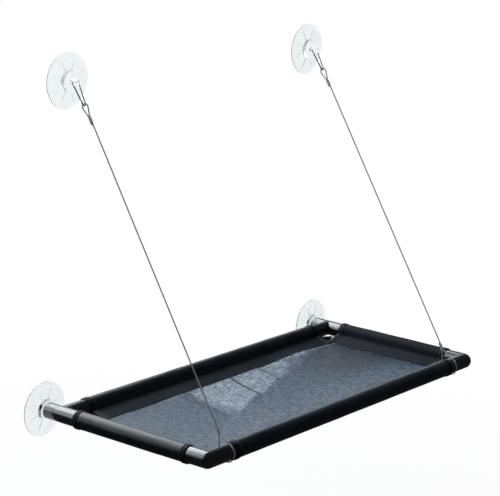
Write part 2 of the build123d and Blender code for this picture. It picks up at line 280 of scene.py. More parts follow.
def open_mesh():
    """Polyester thread, coated with PVC and woven open.

    The coated threads shine at a low angle, and what lies below shows through the small holes. The
    threads are drawn several times as far apart as the real ones, so that they show. The attribute
    "painted_sheen_and_shade" says where a sheen is painted pale into the threads' colour, which is
    made glossier there too, and, below 0, where a shade is painted darker. The weave's relief and fine
    glints are painted into the colour as well.
    """
    material = new_material("Coated polyester mesh, woven open")
    tree = material.node_tree
    place = add_node(tree, "ShaderNodeTexCoord").outputs["Object"]
    warp, weft, height = weave(tree, place, sizes().thread_pitch, swing=0.35)
    thread = add_node(tree, "ShaderNodeMath", {0: warp, 1: weft}, operation="MAXIMUM")
    cover = add_node(tree, "ShaderNodeMapRange",
                     {"Value": thread, "From Min": 0.10, "From Max": 0.24}, interpolation_type="SMOOTHSTEP")
    slub_width = 2.1 * mm
    slub_length = 12 * mm
    slubs = []
    for stretch in ((1 / slub_length, 1 / slub_width, 0), (1 / slub_width, 1 / slub_length, 0)):
        drawn = add_node(tree, "ShaderNodeVectorMath", {0: place, 1: stretch}, operation="MULTIPLY")
        slubs.append(add_node(tree, "ShaderNodeTexNoise", {"Vector": drawn, "Scale": 1.0, "Detail": 3.0}))
    slub = add_node(tree, "ShaderNodeMath", {0: slubs[0], 1: slubs[1]}, operation="ADD")
    uneven = add_node(tree, "ShaderNodeMapRange",
                      {"Value": slub, "From Min": 0.84, "From Max": 1.16, "To Min": 0.3, "To Max": 1.75})
    # Fine specks painted lighter into the threads' colour: painted glints. The same noise also roughens the
    # bump
    glint = add_node(tree, "ShaderNodeTexNoise", {"Vector": place, "Scale": 1 / (1.7 * mm), "Detail": 1.0})
    painted_glints = add_node(tree, "ShaderNodeMapRange",
                      {"Value": glint, "From Min": 0.4, "From Max": 0.68, "To Min": 0.75, "To Max": 1.7})
    # The thread tops are painted lighter and the low parts of the weave darker: a painted shade of its
    # relief
    depth = add_node(tree, "ShaderNodeMapRange",
                     {"Value": height, "From Min": 0.35, "From Max": 0.95, "To Min": 0.3, "To Max": 1.7})
    woven = add_node(tree, "ShaderNodeMath", {0: depth, 1: uneven}, operation="MULTIPLY")
    factor = add_node(tree, "ShaderNodeMath", {0: woven, 1: painted_glints}, operation="MULTIPLY")
    # Where the attribute is above 0 a sheen is painted into the threads' colour, and below 0 a shade is
    # painted darker
    painted_sheen_and_shade = add_node(tree, "ShaderNodeAttribute", attribute_name="painted_sheen_and_shade").outputs["Fac"]
    painted_sheen_colour = add_node(tree, "ShaderNodeMix",
                       {0: painted_sheen_and_shade, 6: opaque(colours().floor_mesh), 7: opaque(colours().floor_painted_sheen)},
                       data_type="RGBA", clamp_factor=True)
    painted_shade = add_node(tree, "ShaderNodeMapRange",
                     {"Value": painted_sheen_and_shade, "From Min": -0.2, "From Max": 0.0, "To Min": 0.3, "To Max": 1.0})
    shown = add_node(tree, "ShaderNodeMath", {0: factor, 1: painted_shade}, operation="MULTIPLY")
    tint = add_node(tree, "ShaderNodeVectorMath",
                    {0: painted_sheen_colour.outputs[2], "Scale": shown}, operation="SCALE")
    worn = add_node(tree, "ShaderNodeMapRange",
                    {"Value": factor, "From Min": 0.3, "From Max": 1.7, "To Min": 0.44, "To Max": 0.3})
    gloss = add_node(tree, "ShaderNodeMath", {0: painted_sheen_and_shade, 1: -0.14, 2: worn}, operation="MULTIPLY_ADD")
    relief = add_node(tree, "ShaderNodeMath", {0: glint, 1: 0.3, 2: height}, operation="MULTIPLY_ADD")
    bump = add_node(tree, "ShaderNodeBump", {"Height": relief, "Strength": 0.6, "Distance": 0.3 * mm})
    shader = add_node(tree, "ShaderNodeBsdfPrincipled",
                      {"Base Color": tint, "Roughness": gloss, "IOR": 1.5,
                       "Specular IOR Level": 0.35, "Normal": bump})
    hole = add_node(tree, "ShaderNodeBsdfTransparent")
    mixed = add_node(tree, "ShaderNodeMixShader", {0: cover, 1: hole, 2: shader})
    return show(material, mixed)


def clear_pvc():
    """Plasticised PVC, moulded clear. It bends what is behind it, with a cold tint where it is thick."""
    material = new_material("Clear PVC, moulded")
    tree = material.node_tree
    place = add_node(tree, "ShaderNodeTexCoord").outputs["Object"]
    shader = add_node(tree, "ShaderNodeBsdfPrincipled",
                      {"Base Color": opaque(colours().cup), "IOR": 1.45, "Transmission Weight": 1.0,
                       "Roughness": smeared(tree, place, patch=14 * mm, low=0.12, high=0.28),
                       "Normal": grained(tree, place, 9 * mm, 2.0, strength=0.35, depth=0.5 * mm)})
    return show(material, shader)


def bare_metal(name, colour, roughness_low, roughness_high, grain_size, metallic=1.0):
    """Bare metal. Its reflections are soft where handling and drawing have dulled it.

    A metallic share below 1 stands for the dull zinc bloom between the strands of a rope.
    """
    material = new_material(name)
    tree = material.node_tree
    place = add_node(tree, "ShaderNodeTexCoord").outputs["Object"]
    grain = add_node(tree, "ShaderNodeTexNoise", {"Vector": place, "Scale": 1 / grain_size, "Detail": 4.0})
    roughness = add_node(tree, "ShaderNodeMapRange",
                         {"Value": grain, "From Min": 0.3, "From Max": 0.7,
                          "To Min": roughness_low, "To Max": roughness_high})
    bump = add_node(tree, "ShaderNodeBump", {"Height": grain, "Strength": 0.15, "Distance": 0.05 * mm})
    shader = add_node(tree, "ShaderNodeBsdfPrincipled",
                      {"Base Color": opaque(colour), "Roughness": roughness,
                       "Metallic": metallic, "Normal": bump})
    return show(material, shader)


def dress(nodes, material):
    """Gives a finish to solid parts that stay in view."""
    for name in nodes:
        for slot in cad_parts[name].material_slots:
            slot.link = "OBJECT"
            slot.material = material


def add_object(name, data):
    """Adds an object to the scene."""
    added = bpy.data.objects.new(name, data)
    bpy.context.scene.collection.objects.link(added)
    return added


def add_piece(name, points, faces, material, crease=180):
    """Adds a smooth mesh to the scene. Edges that bend by more than crease, in degrees, stay sharp."""
    mesh = bpy.data.meshes.new(name)
    mesh.from_pydata([tuple(p) for p in points], [], faces)
    mesh.shade_smooth()
    if crease < 180:
        mesh.set_sharp_from_angle(angle=math.radians(crease))
    mesh.materials.append(material)
    return add_object(name, mesh)


def tube_faces(first, rings, sides):
    """Faces of a closed tube whose rings of points follow one another from an index on."""
    faces = []
    for ring in range(rings - 1):
        for corner in range(sides):
            here = first + ring * sides + corner
            beside = first + ring * sides + (corner + 1) % sides
            faces.append([here, beside, beside + sides, here + sides])
    faces.append([first + corner for corner in reversed(range(sides))])
    faces.append([first + (rings - 1) * sides + corner for corner in range(sides)])
    return faces


def closed_shell(name, outer, inner, uv, material):
    """A closed mesh between two grids of points with the same rows and columns.

    uv holds a place on the flat cloth, in metres, for each point of the grid.
    """
    rows = len(outer)
    columns = len(outer[0])
    points = [p for grid in (outer, inner) for row in grid for p in row]
    flat = [p for row in uv for p in row] * 2

    def index(layer, row, column):
        return layer * rows * columns + row * columns + column

    faces = []
    for row in range(rows - 1):
        for column in range(columns - 1):
            corners = [(row, column), (row, column + 1), (row + 1, column + 1), (row + 1, column)]
            faces.append([index(0, *corner) for corner in corners])
            faces.append([index(1, *corner) for corner in reversed(corners)])
    rim = [(0, column) for column in range(columns)]
    rim += [(row, columns - 1) for row in range(1, rows)]
    rim += [(rows - 1, column) for column in range(columns - 2, -1, -1)]
    rim += [(row, 0) for row in range(rows - 2, 0, -1)]
    for here, there in zip(rim, rim[1:] + rim[:1]):
        faces.append([index(0, *there), index(0, *here), index(1, *here), index(1, *there)])
    piece = add_piece(name, points, faces, material, crease=50)
    layer = piece.data.uv_layers.new(name="metres")
    for loop in piece.data.loops:
        layer.data[loop.index].uv = flat[loop.vertex_index]
    piece.data.update()
    return piece


def sleeve_profile(offset):
    """Points round a sleeve from the flap's end over the rail and back, at a distance from its mid-cloth.

    Each is (place, share along the flap or None on the rail, side of the flap).
    """
    layer = sizes().fabric_thickness / 2
    radius = tube_r + sleeve_clear + layer
    spread = math.acos(radius / stitch_reach)
    above = spread - stitch_fall
    below = -spread - stitch_fall
    profile = []
    for step in range(steps_flap + 1):
        share = 1 - step / steps_flap
        profile.append((stitch.lerp(seam, share) + flap_up * (layer + offset), share, 1))
    for step in range(steps_round + 1):
        angle = above + (2 * math.pi + below - above) * step / steps_round
        profile.append((Vector((math.cos(angle), math.sin(angle))) * (radius + offset), None, 0))
    for step in range(steps_flap + 1):
        share = step / steps_flap
        profile.append((stitch.lerp(seam, share) - flap_up * (layer + offset), share, -1))
    return profile


def flap_wave(rail, along):
    """How far a sleeve's flap stands off its plane at its end, from place to place along the rail.

    The rear flap is also hitched up in one place, towards the right end of the bed.
    """
    broad_length = 90 * mm
    fine_length = 28 * mm
    hitch_place = -165 * mm
    hitch_width = 55 * mm
    hitch_rise = 4.5
    broad = noise.noise(Vector((along / broad_length, wave_seeds[rail], 0)))
    fine = noise.noise(Vector((along / fine_length, wave_seeds[rail], 5.0)))
    wave = 1.6 * broad + 0.5 * fine
    if rail == "rear":
        wave += hitch_rise * math.exp(-((along - hitch_place) / hitch_width) ** 2)
    return wave * mm


def across_rail(rail, place, along):
    """A point from its place across a rail and along it."""
    origin, inward, axis = rails[rail]
    return origin + inward * place.x + Vector((0, 0, place.y)) + axis * along


def cloth_point(rail, entry, along):
    """A point of a sleeve, with wrinkles in its skin on the rail and puckers beside its stitches."""
    place, share, side = entry
    if share is None:
        wrinkle_length = 38 * mm
        wrinkles_round = 1.6
        wrinkle_rise = 0.5
        angle = math.atan2(place.y, place.x)
        lift = max(0.0, noise.noise(Vector((
            along / wrinkle_length, wrinkles_round * math.cos(angle),
            wrinkles_round * math.sin(angle) + skin_seeds[rail])))) * wrinkle_rise * mm
        return across_rail(rail, place * (1 + lift / place.length), along)
    pucker_length = 3.4 * mm
    pucker_rise = 0.12
    pucker_fade = 9
    stand = flap_wave(rail, along) * share * share
    pucker = math.sin(along / pucker_length) * pucker_rise * mm * math.exp(-share * pucker_fade)
    return across_rail(rail, place, along) + Vector((0, 0, stand + side * pucker))


def half_sleeve(rail):
    """Half the length of a sleeve along its rail."""
    return abs(size_of(f"{rail}_sleeve").dot(rails[rail][2])) / 2


def build_sleeves():
    """The four fabric sleeves round the rails, each folded double and sewn to a flap."""
    pitch = 2.6 * mm
    taut = woven_cloth("Coated polyester, stretched smooth", colours().sleeve, pitch,
                       roughness=0.3, specular=0.3, shade_spread=0.25)
    slack = woven_cloth("Coated polyester, woven double", colours().sleeve, pitch,
                        roughness=0.6, specular=0.1, shade_spread=0.65)
    half_thickness = sizes().fabric_thickness / 2
    step_length = 3.0 * mm
    for rail in rails:
        node = f"{rail}_sleeve"
        half = half_sleeve(rail)
        steps = round(2 * half / step_length)
        places = [half * (2 * step / steps - 1) for step in range(steps + 1)]
        grids = []
        for offset in (half_thickness, -half_thickness):
            profile = sleeve_profile(offset)
            grids.append([[cloth_point(rail, entry, along) for entry in profile] for along in places])
        middle = [place for place, share, side in sleeve_profile(0)]
        run = [0.0]
        for here, there in zip(middle, middle[1:]):
            run.append(run[-1] + (there - here).length)
        uv = [[(place - run[-1] / 2, along) for place in run] for along in places]
        sleeve = closed_shell(f"{rail}_sleeve_cloth", grids[0], grids[1], uv, taut)
        sleeve.data.materials.append(slack)
        strips = len(run) - 1
        for face in sleeve.data.polygons:
            strip = face.index // 2 % strips
            on_flap = strip < steps_flap or strip >= strips - steps_flap
            on_rim = face.index >= 2 * steps * strips
            if rail == "right" or on_flap or on_rim:
                face.material_index = 1
        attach(sleeve, "bed_frame")
        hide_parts(node)


def smooth_step(low, high, value):
    """Rises smoothly from 0 at low to 1 at high."""
    share = min(1.0, max(0.0, (value - low) / (high - low)))
    return share * share * (3 - 2 * share)


# Pleats that the rear seam sets in the floor: places along the seam and heights there, in
# millimetres. Between two pleats the cloth climbs gently and then drops in a narrow crease.
seam_pleats = [
    (-105, 0.0), (-84, -2.2), (0, 2.8), (9, -1.6), (68, 1.5), (75, -1.1), (128, 1.2), (134, -0.7),
    (163, 0.9), (167, -0.7), (180, 0.7), (184, -0.5), (205, 0.0),
]
# Soft folds along the front seam, in millimetres: start and end, half width, and height
front_folds = [
    ((-210, -228), (-120, -208), 13, 0.8),
    ((-150, -238), (-50, -226), 10, 0.7),
    ((60, -238), (160, -224), 12, 0.6),
]
# The floor's lowest point
floor_low_point = Vector((-62 * mm, -152 * mm))
# How far the pleats move along the seam for each length that they run before it
pleat_slant = 0.25
# The fold that ends the pleats: its place along the seam, its distance before the seam there,
# and the direction away from it
fold_x = -8 * mm
fold_before = 71 * mm
fold_away = (0.32, 0.94)


def pleat_reach(x, before, blur):
    """Share of the pleats at a place: the seam holds them as far as a slanting fold before it."""
    from_fold = fold_away[1] * (fold_before - before) - fold_away[0] * (x - fold_x)
    return smooth_step(-blur, 1.5 * blur, from_fold)


def seam_place(x, before):
    """Where along the rear seam, in millimetres, the pleat through a place starts."""
    return (x + pleat_slant * before) / mm


def pleat_height(x, before):
    """Height of the pleats at a place, and at a distance before the rear seam."""
    fold_blur = 3 * mm
    seam_blur = 7 * mm
    place = seam_place(x, before)
    height = 0.0
    for (start, low), (end, high) in zip(seam_pleats, seam_pleats[1:]):
        if start <= place < end:
            height = (low + (high - low) * (place - start) / (end - start)) * mm
    return height * pleat_reach(x, before, fold_blur) * smooth_step(0, seam_blur, before)


def paint_floor_light(x, y, half_width):
    """How much sheen is painted pale into the floor's colour at a place: a painted highlight, most on the
    raised cloth between the creases.

    A painted highlight runs along the hem beside the rear seam too, and a little painted sheen lies over
    the front. The floor's right part is left below 0, which is painted shade.
    """
    # The creases' sizes are in millimetres, as in the list of pleats
    deepest_crease = 4.4
    crease_edge = 2
    patch_x = 26 * mm
    patch_y = 16 * mm
    front_depth = 90 * mm
    # Shares of the painted highlight on the hem, of the painted sheen over the front, and of the painted
    # shade over the right part
    hem_alone = 0.9
    hem_added = 0.4
    front_share = 0.14
    right_shade_share = 0.17
    before = middle_y + half_width - y
    behind = y - middle_y + half_width
    place = seam_place(x, before)
    patchy = 0.5 + noise.noise(Vector((x / patch_x, y / patch_y, 6.1)))
    blur = 2 * mm + 12 * mm * smooth_step(0, 130 * mm, x)
    raised = pleat_reach(x, before, blur)
    raised *= smooth_step(-112 * mm, -64 * mm, x) * (0.7 + 0.6 * patchy)
    # Inside each crease the painted sheen is cut back, which leaves a painted shade there
    for (start, high), (end, low) in zip(seam_pleats, seam_pleats[1:]):
        if low < high and start - crease_edge < place < end + crease_edge:
            raised *= max(0.0, 1 - (high - low) / deepest_crease)
    # A painted highlight along the hem at the rear seam, a painted sheen over the front, and a painted
    # shade over the right part
    hem = (1 - smooth_step(1 * mm, 5 * mm, before)) * smooth_step(-165 * mm, -130 * mm, x)
    by_front = 1 - smooth_step(0, front_depth, behind)
    by_right = smooth_step(40 * mm, 200 * mm, x)
    painted_sheen_and_shade = max(raised + hem_added * hem, hem_alone * hem) + front_share * by_front
    return painted_sheen_and_shade - right_shade_share * by_right * (1 - by_front) * (1 - raised)


def floor_height(x, y, half_length, half_width):
    """Height of the floor's cloth. It hangs in four planes that meet at its lowest point."""
    before = middle_y + half_width - y
    behind = y - middle_y + half_width
    low_x = floor_low_point.x
    low_y = floor_low_point.y - middle_y
    planes = (
        before / (half_width - low_y), behind / (half_width + low_y),
        (half_length - x) / (half_length - low_x), (half_length + x) / (half_length + low_x),
    )
    sharpness = 9
    long_fade = 4
    side_fade = 10
    crumple_size = 26 * mm
    billow_x = 80 * mm
    billow_y = 60 * mm
    depth = -math.log(sum(math.exp(-sharpness * max(0.0, p)) for p in planes)) / sharpness
    along = x / half_length
    across = (y - middle_y) / half_width
    height = -border_drop - sizes().floor_sag * max(0.0, depth)
    height += (flap_wave("front", x) * max(0.0, -across) ** long_fade
               + flap_wave("rear", -x) * max(0.0, across) ** long_fade)
    height += flap_wave("left", middle_y - y) * max(0.0, -along) ** side_fade
    height += flap_wave("right", y - middle_y) * max(0.0, along) ** side_fade
    for start, end, half_fold, rise in front_folds:
        begin = Vector(start) * mm
        run = Vector(end) * mm - begin
        offset = Vector((x, y)) - begin
        share = offset.dot(run) / run.length_squared
        aside = offset.cross(run) / run.length / (half_fold * mm)
        rounded = smooth_step(0, 0.3, share) * smooth_step(1, 0.7, share)
        height += rise * mm * math.exp(-aside * aside) * rounded
    inside = max(0.0, 1 - across ** 6) * max(0.0, 1 - along ** 12)
    crumple = noise.noise(Vector((x / crumple_size, y / crumple_size, 2.4)))
    crumple += 2.0 * noise.noise(Vector((x / billow_x, y / billow_y, 7.4)))
    height += crumple * sizes().crumple_height * inside
    return height + pleat_height(x, before) * sizes().pleat_share


def build_floor():
    """The open-mesh floor, sewn between the ends of the sleeves' flaps, and its four corners."""
    half_thickness = 0.25 * mm
    tuck = 1.5 * mm
    column_step = 1.7 * mm
    row_step = 2.6 * mm
    low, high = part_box("hammock_floor")
    half_length = (high.x - low.x) / 2
    half_width = half_length - half_x + (rear_y - front_y) / 2
    columns = round(2 * half_length / column_step)
    rows = round(2 * half_width / row_step)
    line = [(half_length + tuck) * (2 * column / columns - 1) for column in range(columns + 1)]
    middle = []
    for row in range(rows + 1):
        y = middle_y + (half_width + tuck) * (2 * row / rows - 1)
        middle.append([Vector((x, y, floor_height(x, y, half_length, half_width))) for x in line])
    grids = [[[p + Vector((0, 0, offset)) for p in row] for row in middle]
             for offset in (half_thickness, -half_thickness)]
    uv = [[(p.x, p.y) for p in row] for row in grids[0]]
    floor = closed_shell("floor_mesh_panel", grids[0], grids[1], uv, open_mesh())
    # The floor's painted sheen and painted shade, kept on its points for its material
    painted_sheen_and_shade = floor.data.attributes.new("painted_sheen_and_shade", "FLOAT", "POINT")
    shares = [paint_floor_light(p.x, p.y, half_width) for row in middle for p in row]
    painted_sheen_and_shade.data.foreach_set("value", shares * 2)
    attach(floor, "bed_frame")
    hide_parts("hammock_floor")
    tape = woven_cloth("Polyester tape over the floor's corners", colours().tape, 0.9 * mm,
                       roughness=0.6, specular=0.1, shade_spread=0.15)
    corners = [build_corner(x_side, rail, half_length, half_width, tape)
               for x_side in (-1, 1) for rail in ("front", "rear")]


def build_corner(x_side, rail, half_length, half_width, tape):
    """A taped corner of the floor, between the ends of a long flap and a side flap."""
    lap = 1 * mm
    overhang = 12 * mm
    splay = 2.4
    steps = 12
    half_thickness = 0.6 * mm
    y_side = 1 if rail == "rear" else -1
    flap_end = half_sleeve(rail) - lap
    side_end = half_sleeve("left")
    fall = (stitch.y - seam.y) / (seam.x - stitch.x)
    grids = [[], []]
    for row in range(steps + 1):
        out = half_width - lap + (side_end + overhang - half_width + lap) * row / steps
        spread = half_length + lap + max(0.0, out - side_end) * splay
        lines = ([], [])
        for column in range(steps + 1):
            share = column / steps
            x = x_side * (flap_end + (spread - flap_end) * share)
            rise = max(0.0, out - half_width) * fall * (1 - share)
            for line, lift in zip(lines, (half_thickness, -half_thickness)):
                line.append(Vector((x, middle_y + y_side * out, -border_drop + rise + lift)))
        for grid, line in zip(grids, lines):
            grid.append(line)
    if x_side * y_side < 0:
        grids.reverse()
    uv = [[(p.x, p.y) for p in row] for row in grids[0]]
    name = f"floor_corner_{'left' if x_side < 0 else 'right'}_{rail}"
    piece = closed_shell(name, grids[0], grids[1], uv, tape)
    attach(piece, "bed_frame")
    return piece.name


def build_bindings():
    """The ridged tapes that bind both ends of each sleeve."""
    tape = woven_cloth("Polyester binding, ribbed tape", colours().tape, 0.9 * mm,
                       roughness=0.55, specular=0.25, shade_spread=0.15)
    width = 9.0 * mm
    rise = 0.95 * mm
    valley = 0.35
    edge_slope = 6
    steps = 14
    surface = sizes().fabric_thickness / 2
    under = sleeve_profile(surface)
    for rail in rails:
        half = half_sleeve(rail)
        for end in (-1, 1):
            start = -half if end < 0 else half - width
            outer = []
            inner = []
            uv = []
            for step in range(steps + 1):
                share = step / steps
                ridge = valley + (1 - valley) * abs(math.sin(2 * math.pi * share)) ** 0.6
                edge = min(1.0, edge_slope * share, edge_slope * (1 - share))
                along = start + width * share
                over = sleeve_profile(surface + rise * ridge * edge)
                outer.append([cloth_point(rail, entry, along) for entry in over])
                inner.append([cloth_point(rail, entry, along) for entry in under])
                run = 0.0
                line = []
                for here, there in zip(outer[-1], outer[-1][1:] + outer[-1][-1:]):
                    line.append((run, along))
                    run += (there - here).length
                uv.append(line)
            name = f"{rail}_binding_{'near' if end < 0 else 'far'}"
            piece = closed_shell(name, outer, inner, uv, tape)
            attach(piece, "bed_frame")
        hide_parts(f"{rail}_sleeve_bindings")


def sewing_thread():
    """Bonded polyester thread, with its plies just showing."""
    material = new_material("Bonded polyester thread")
    tree = material.node_tree
    place = add_node(tree, "ShaderNodeTexCoord").outputs["Object"]
    shader = add_node(tree, "ShaderNodeBsdfPrincipled",
                      {"Base Color": opaque(colours().thread), "Roughness": 0.5, "IOR": 1.5,
                       "Normal": grained(tree, place, 0.6 * mm, 2.0, strength=0.5, depth=0.1 * mm)})
    return show(material, shader)


def add_stitch(points, faces, start, end, lift, radius):
    """One stitch: a thread that dips into the cloth at both ends."""
    sides = 6
    rings = 6
    tip = 0.08
    dip = 0.6
    first = len(points)
    along = end - start
    side = along.cross(lift).normalized()
    up = lift.normalized()
    for ring in range(rings):
        share = ring / (rings - 1)
        swell = math.sin(math.pi * (tip + (1 - 2 * tip) * share)) ** 0.5
        centre = start + along * share + up * radius * (swell * 2 * dip - dip)
        for corner in range(sides):
            angle = 2 * math.pi * corner / sides
            around = side * math.cos(angle) + up * math.sin(angle)
            points.append(centre + around * radius * swell)
    faces.extend(tube_faces(first, rings, sides))


def build_stitching():
    """Rows of stitches: one that closes each sleeve round its rail, two that hold the floor's edge."""
    material = sewing_thread()
    rows_at = (0.0, 0.80, 0.93)
    gap = 1.2 * mm
    clear_of_binding = 11 * mm
    length = sizes().stitch_length
    radius = sizes().thread_d / 2
    surface = sizes().fabric_thickness
    for rail in rails:
        points = []
        faces = []
        lift = rails[rail][1] * flap_up.x + Vector((0, 0, flap_up.y))
        half = half_sleeve(rail) - clear_of_binding
        count = int(2 * half / (length + gap))
        for share in rows_at:
            base = stitch.lerp(seam, share)
            for side in (1, -1):
                entry = (base + flap_up * side * surface, share, side)
                for number in range(count):
                    along = -half + number * (length + gap)
                    start = cloth_point(rail, entry, along)
                    end = cloth_point(rail, entry, along + length)
                    add_stitch(points, faces, start, end, lift * side, radius)
        piece = add_piece(f"{rail}_stitching", points, faces, material)
        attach(piece, "bed_frame")


# The rope's route in its upright plane, in millimetres: up the rope from the front rail's axis,
# and across it. It starts at the cut end above the lower ferrule, goes round the rail, up to the
# eye on the hook's foot, and ends at the cut end below the upper ferrule.
rope_route = [
    (37.4, -0.95), (33.0, -0.95), (29.0, -0.95), (25.0, -0.95),
    (10.24, -8.48), (0.84, -13.26), (-9.09, -9.69), (-13.29, 0.0), (-9.09, 9.69), (0.84, 13.26),
    (10.24, 8.48), (25.0, 0.95), (29.0, 0.95), (44.0, 0.95), (445.6, 0.95), (460.2, 0.95),
    (464.1, 0.95), (473.9, 4.05), (478.0, 5.3), (481.9, 2.4), (481.9, -2.4),
    (478.0, -5.3), (473.9, -4.05), (464.1, -0.95), (460.2, -0.95), (455.7, -0.95), (451.7, -0.95),
]


def rope_line(side):
    """Points along the smooth line of one rope, from its NURBS spline."""
    foot = Vector((side * cable_x, front_y, 0))
    pin = Vector((side * cable_x, -glass_to_pin, cup_z))
    up_rope = (pin - foot).normalized()
    across = Vector((1, 0, 0)).cross(up_rope)
    curve = bpy.data.curves.new("rope_route", "CURVE")
    curve.dimensions = "3D"
    curve.resolution_u = 24
    spline = curve.splines.new("NURBS")
    spline.points.add(len(rope_route) - 1)
    for point, (along, over) in zip(spline.points, rope_route):
        point.co = (*(foot + up_rope * along * mm + across * over * mm), 1)
    spline.order_u = 3
    spline.use_endpoint_u = True
    holder = bpy.data.objects.new("rope_route", curve)
    mesh = bpy.data.meshes.new_from_object(holder)
    line = [v.co.copy() for v in mesh.vertices]
    bpy.data.objects.remove(holder)
    bpy.data.meshes.remove(mesh)
    return line


def even_steps(line, step):
    """Points at even steps along a line."""
    out = [line[0].copy()]
    carried = 0.0
    for here, there in zip(line, line[1:]):
        run = (there - here).length
        at = step - carried
        while at <= run:
            out.append(here.lerp(there, at / run))
            at += step
        carried = (carried + run) % step if run else carried
    if (out[-1] - line[-1]).length > step / 4:
        out.append(line[-1].copy())
    return out


def build_ropes():
    """The two steel ropes, each of six strands round a core, crimped into a loop at both ends."""
    steel = bare_metal("Galvanised steel rope, stranded", colours().rope, 0.35, 0.55, 1.2 * mm,
                       metallic=0.5)
    strands = 6
    samples = 5
    sides = strands * samples
    ring_step = 0.8 * mm
    strand_r = sizes().rope_d / 2 / 3
    orbit = 2 * strand_r
    for name, side in (("left", -1), ("right", 1)):
        line = rope_line(side)
        centres = even_steps(line, ring_step)
        points = []
        run = 0.0
        for number, centre in enumerate(centres):
            before = centres[max(0, number - 1)]
            after = centres[min(len(centres) - 1, number + 1)]
            tangent = (after - before).normalized()
            if number:
                run += (centre - before).length
            normal = Vector((1, 0, 0)).cross(tangent).normalized()
            binormal = tangent.cross(normal)
            twist = 2 * math.pi * run / sizes().rope_lay
            for corner in range(sides):
                local = (corner % samples) / samples * 2 - 1
                phi = local * math.pi / strands
                reach = orbit * math.cos(phi)
                reach += math.sqrt(max(0.0, strand_r ** 2 - (orbit * math.sin(phi)) ** 2))
                angle = twist + 2 * math.pi * corner / sides
                points.append(centre + (normal * math.cos(angle) + binormal * math.sin(angle)) * reach)
        faces = tube_faces(0, len(centres), sides)
        rope = add_piece(f"{name}_steel_rope", points, faces, steel, crease=40)
        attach(rope, f"{name}_cable")
        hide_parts(f"{name}_cable")


def add_camera():
    """The photograph's camera."""
    place = (-1.95712, -1.66037, 0.79176)
    azimuth = math.radians(51.5632)
    elevation = math.radians(13.546)
    roll = math.radians(1.8784)
    ahead = Vector((math.sin(azimuth) * math.cos(elevation),
                    math.cos(azimuth) * math.cos(elevation), -math.sin(elevation)))
    level = ahead.cross(Vector((0, 0, 1))).normalized()
    upright = level.cross(ahead)
    right = level * math.cos(roll) + upright * math.sin(roll)
    up = upright * math.cos(roll) - level * math.sin(roll)
    data = bpy.data.cameras.new("photo_camera")
    data.sensor_width = 36.0
    data.lens = 132.853
    data.clip_end = 60.0
    camera = add_object("photo_camera", data)
    turn = Matrix((right, up, -ahead)).transposed()
    camera.matrix_world = Matrix.Translation(place) @ turn.to_4x4()
    bpy.context.scene.camera = camera


# Rectangular lamps: the direction to each from the bed, as azimuth and elevation in degrees, its
# width and height, and its power
softboxes = {
    "rear_softbox": (12, 45, 2.15, 1.0, 48),
    "side_softbox": (-48, 25, 0.7, 1.2, 7),
    "left_softbox": (-32, 46, 0.9, 0.9, 8),
}


def add_softboxes():
    """The lamps, all aimed at the bed from the same distance."""
    distance = 2.2
    for name, (azimuth, elevation, width, height, power) in softboxes.items():
        turn = math.radians(azimuth)
        rise = math.radians(elevation)
        aim = Vector((0, middle_y, 0))
        away = Vector((math.sin(turn) * math.cos(rise), math.cos(turn) * math.cos(rise), math.sin(rise)))
        data = bpy.data.lights.new(name, "AREA")
        data.shape = "RECTANGLE"
        data.size = width
        data.size_y = height
        data.energy = power
        data.color = (0.9, 0.96, 1.0)
        lamp = add_object(name, data)
        lamp.location = aim + away * distance
        lamp.rotation_euler = away.to_track_quat("Z", "Y").to_euler()
        lamp.visible_camera = False


def seen_directly(tree):
    """1 for what the camera sees, straight or through glass, and 0 for what only lights or mirrors."""
    path = add_node(tree, "ShaderNodeLightPath")
    return add_node(tree, "ShaderNodeMath",
                    {0: path.outputs["Is Camera Ray"], 1: path.outputs["Is Transmission Ray"]},
                    operation="MAXIMUM")


def add_world():
    """A white studio: seen directly and in glass it is white, and it lights softly.

    Gloss sees its white wall behind the bed, and a dim room on the camera's side.
    """
    world = bpy.data.worlds.new("studio")
    world.use_nodes = True
    tree = world.node_tree
    tree.nodes.clear()
    direct = seen_directly(tree)
    glossy = add_node(tree, "ShaderNodeLightPath").outputs["Is Glossy Ray"]
    ray = add_node(tree, "ShaderNodeTexCoord").outputs["Generated"]
    rise = add_node(tree, "ShaderNodeSeparateXYZ", {0: ray}).outputs["Z"]
    behind = add_node(tree, "ShaderNodeVectorMath", {0: ray, 1: (0.77, 0.64, 0)}, operation="DOT_PRODUCT")
    # The wall's soft edges: a value, where it starts and ends, and the share of light at both
    edges = (
        (behind.outputs["Value"], 0.45, 0.9, 0.0, 1.0),
        (rise, -0.08, 0.02, 0.0, 1.0),
        (rise, 0.26, 0.52, 1.0, 0.1),
    )
    wall = None
    for value, low, high, at_low, at_high in edges:
        share = add_node(tree, "ShaderNodeMapRange",
                         {"Value": value, "From Min": low, "From Max": high, "To Min": at_low,
                          "To Max": at_high}, interpolation_type="SMOOTHSTEP")
        if wall is not None:
            share = add_node(tree, "ShaderNodeMath", {0: wall, 1: share}, operation="MULTIPLY")
        wall = share
    backdrop = add_node(tree, "ShaderNodeMath", {0: wall, 1: 0.05}, operation="ADD")
    mirrored = add_node(tree, "ShaderNodeMix", {"Factor": glossy, "A": 0.25, "B": backdrop})
    strength = add_node(tree, "ShaderNodeMix", {"Factor": direct, "A": mirrored, "B": 1.0})
    hue = add_node(tree, "ShaderNodeMix",
                   {0: direct, 6: (0.82, 0.92, 1.0, 1.0), 7: (1.0, 1.0, 1.0, 1.0)}, data_type="RGBA")
    light = add_node(tree, "ShaderNodeBackground", {"Color": hue.outputs[2], "Strength": strength})
    add_node(tree, "ShaderNodeOutputWorld", {"Surface": light})
    bpy.context.scene.world = world


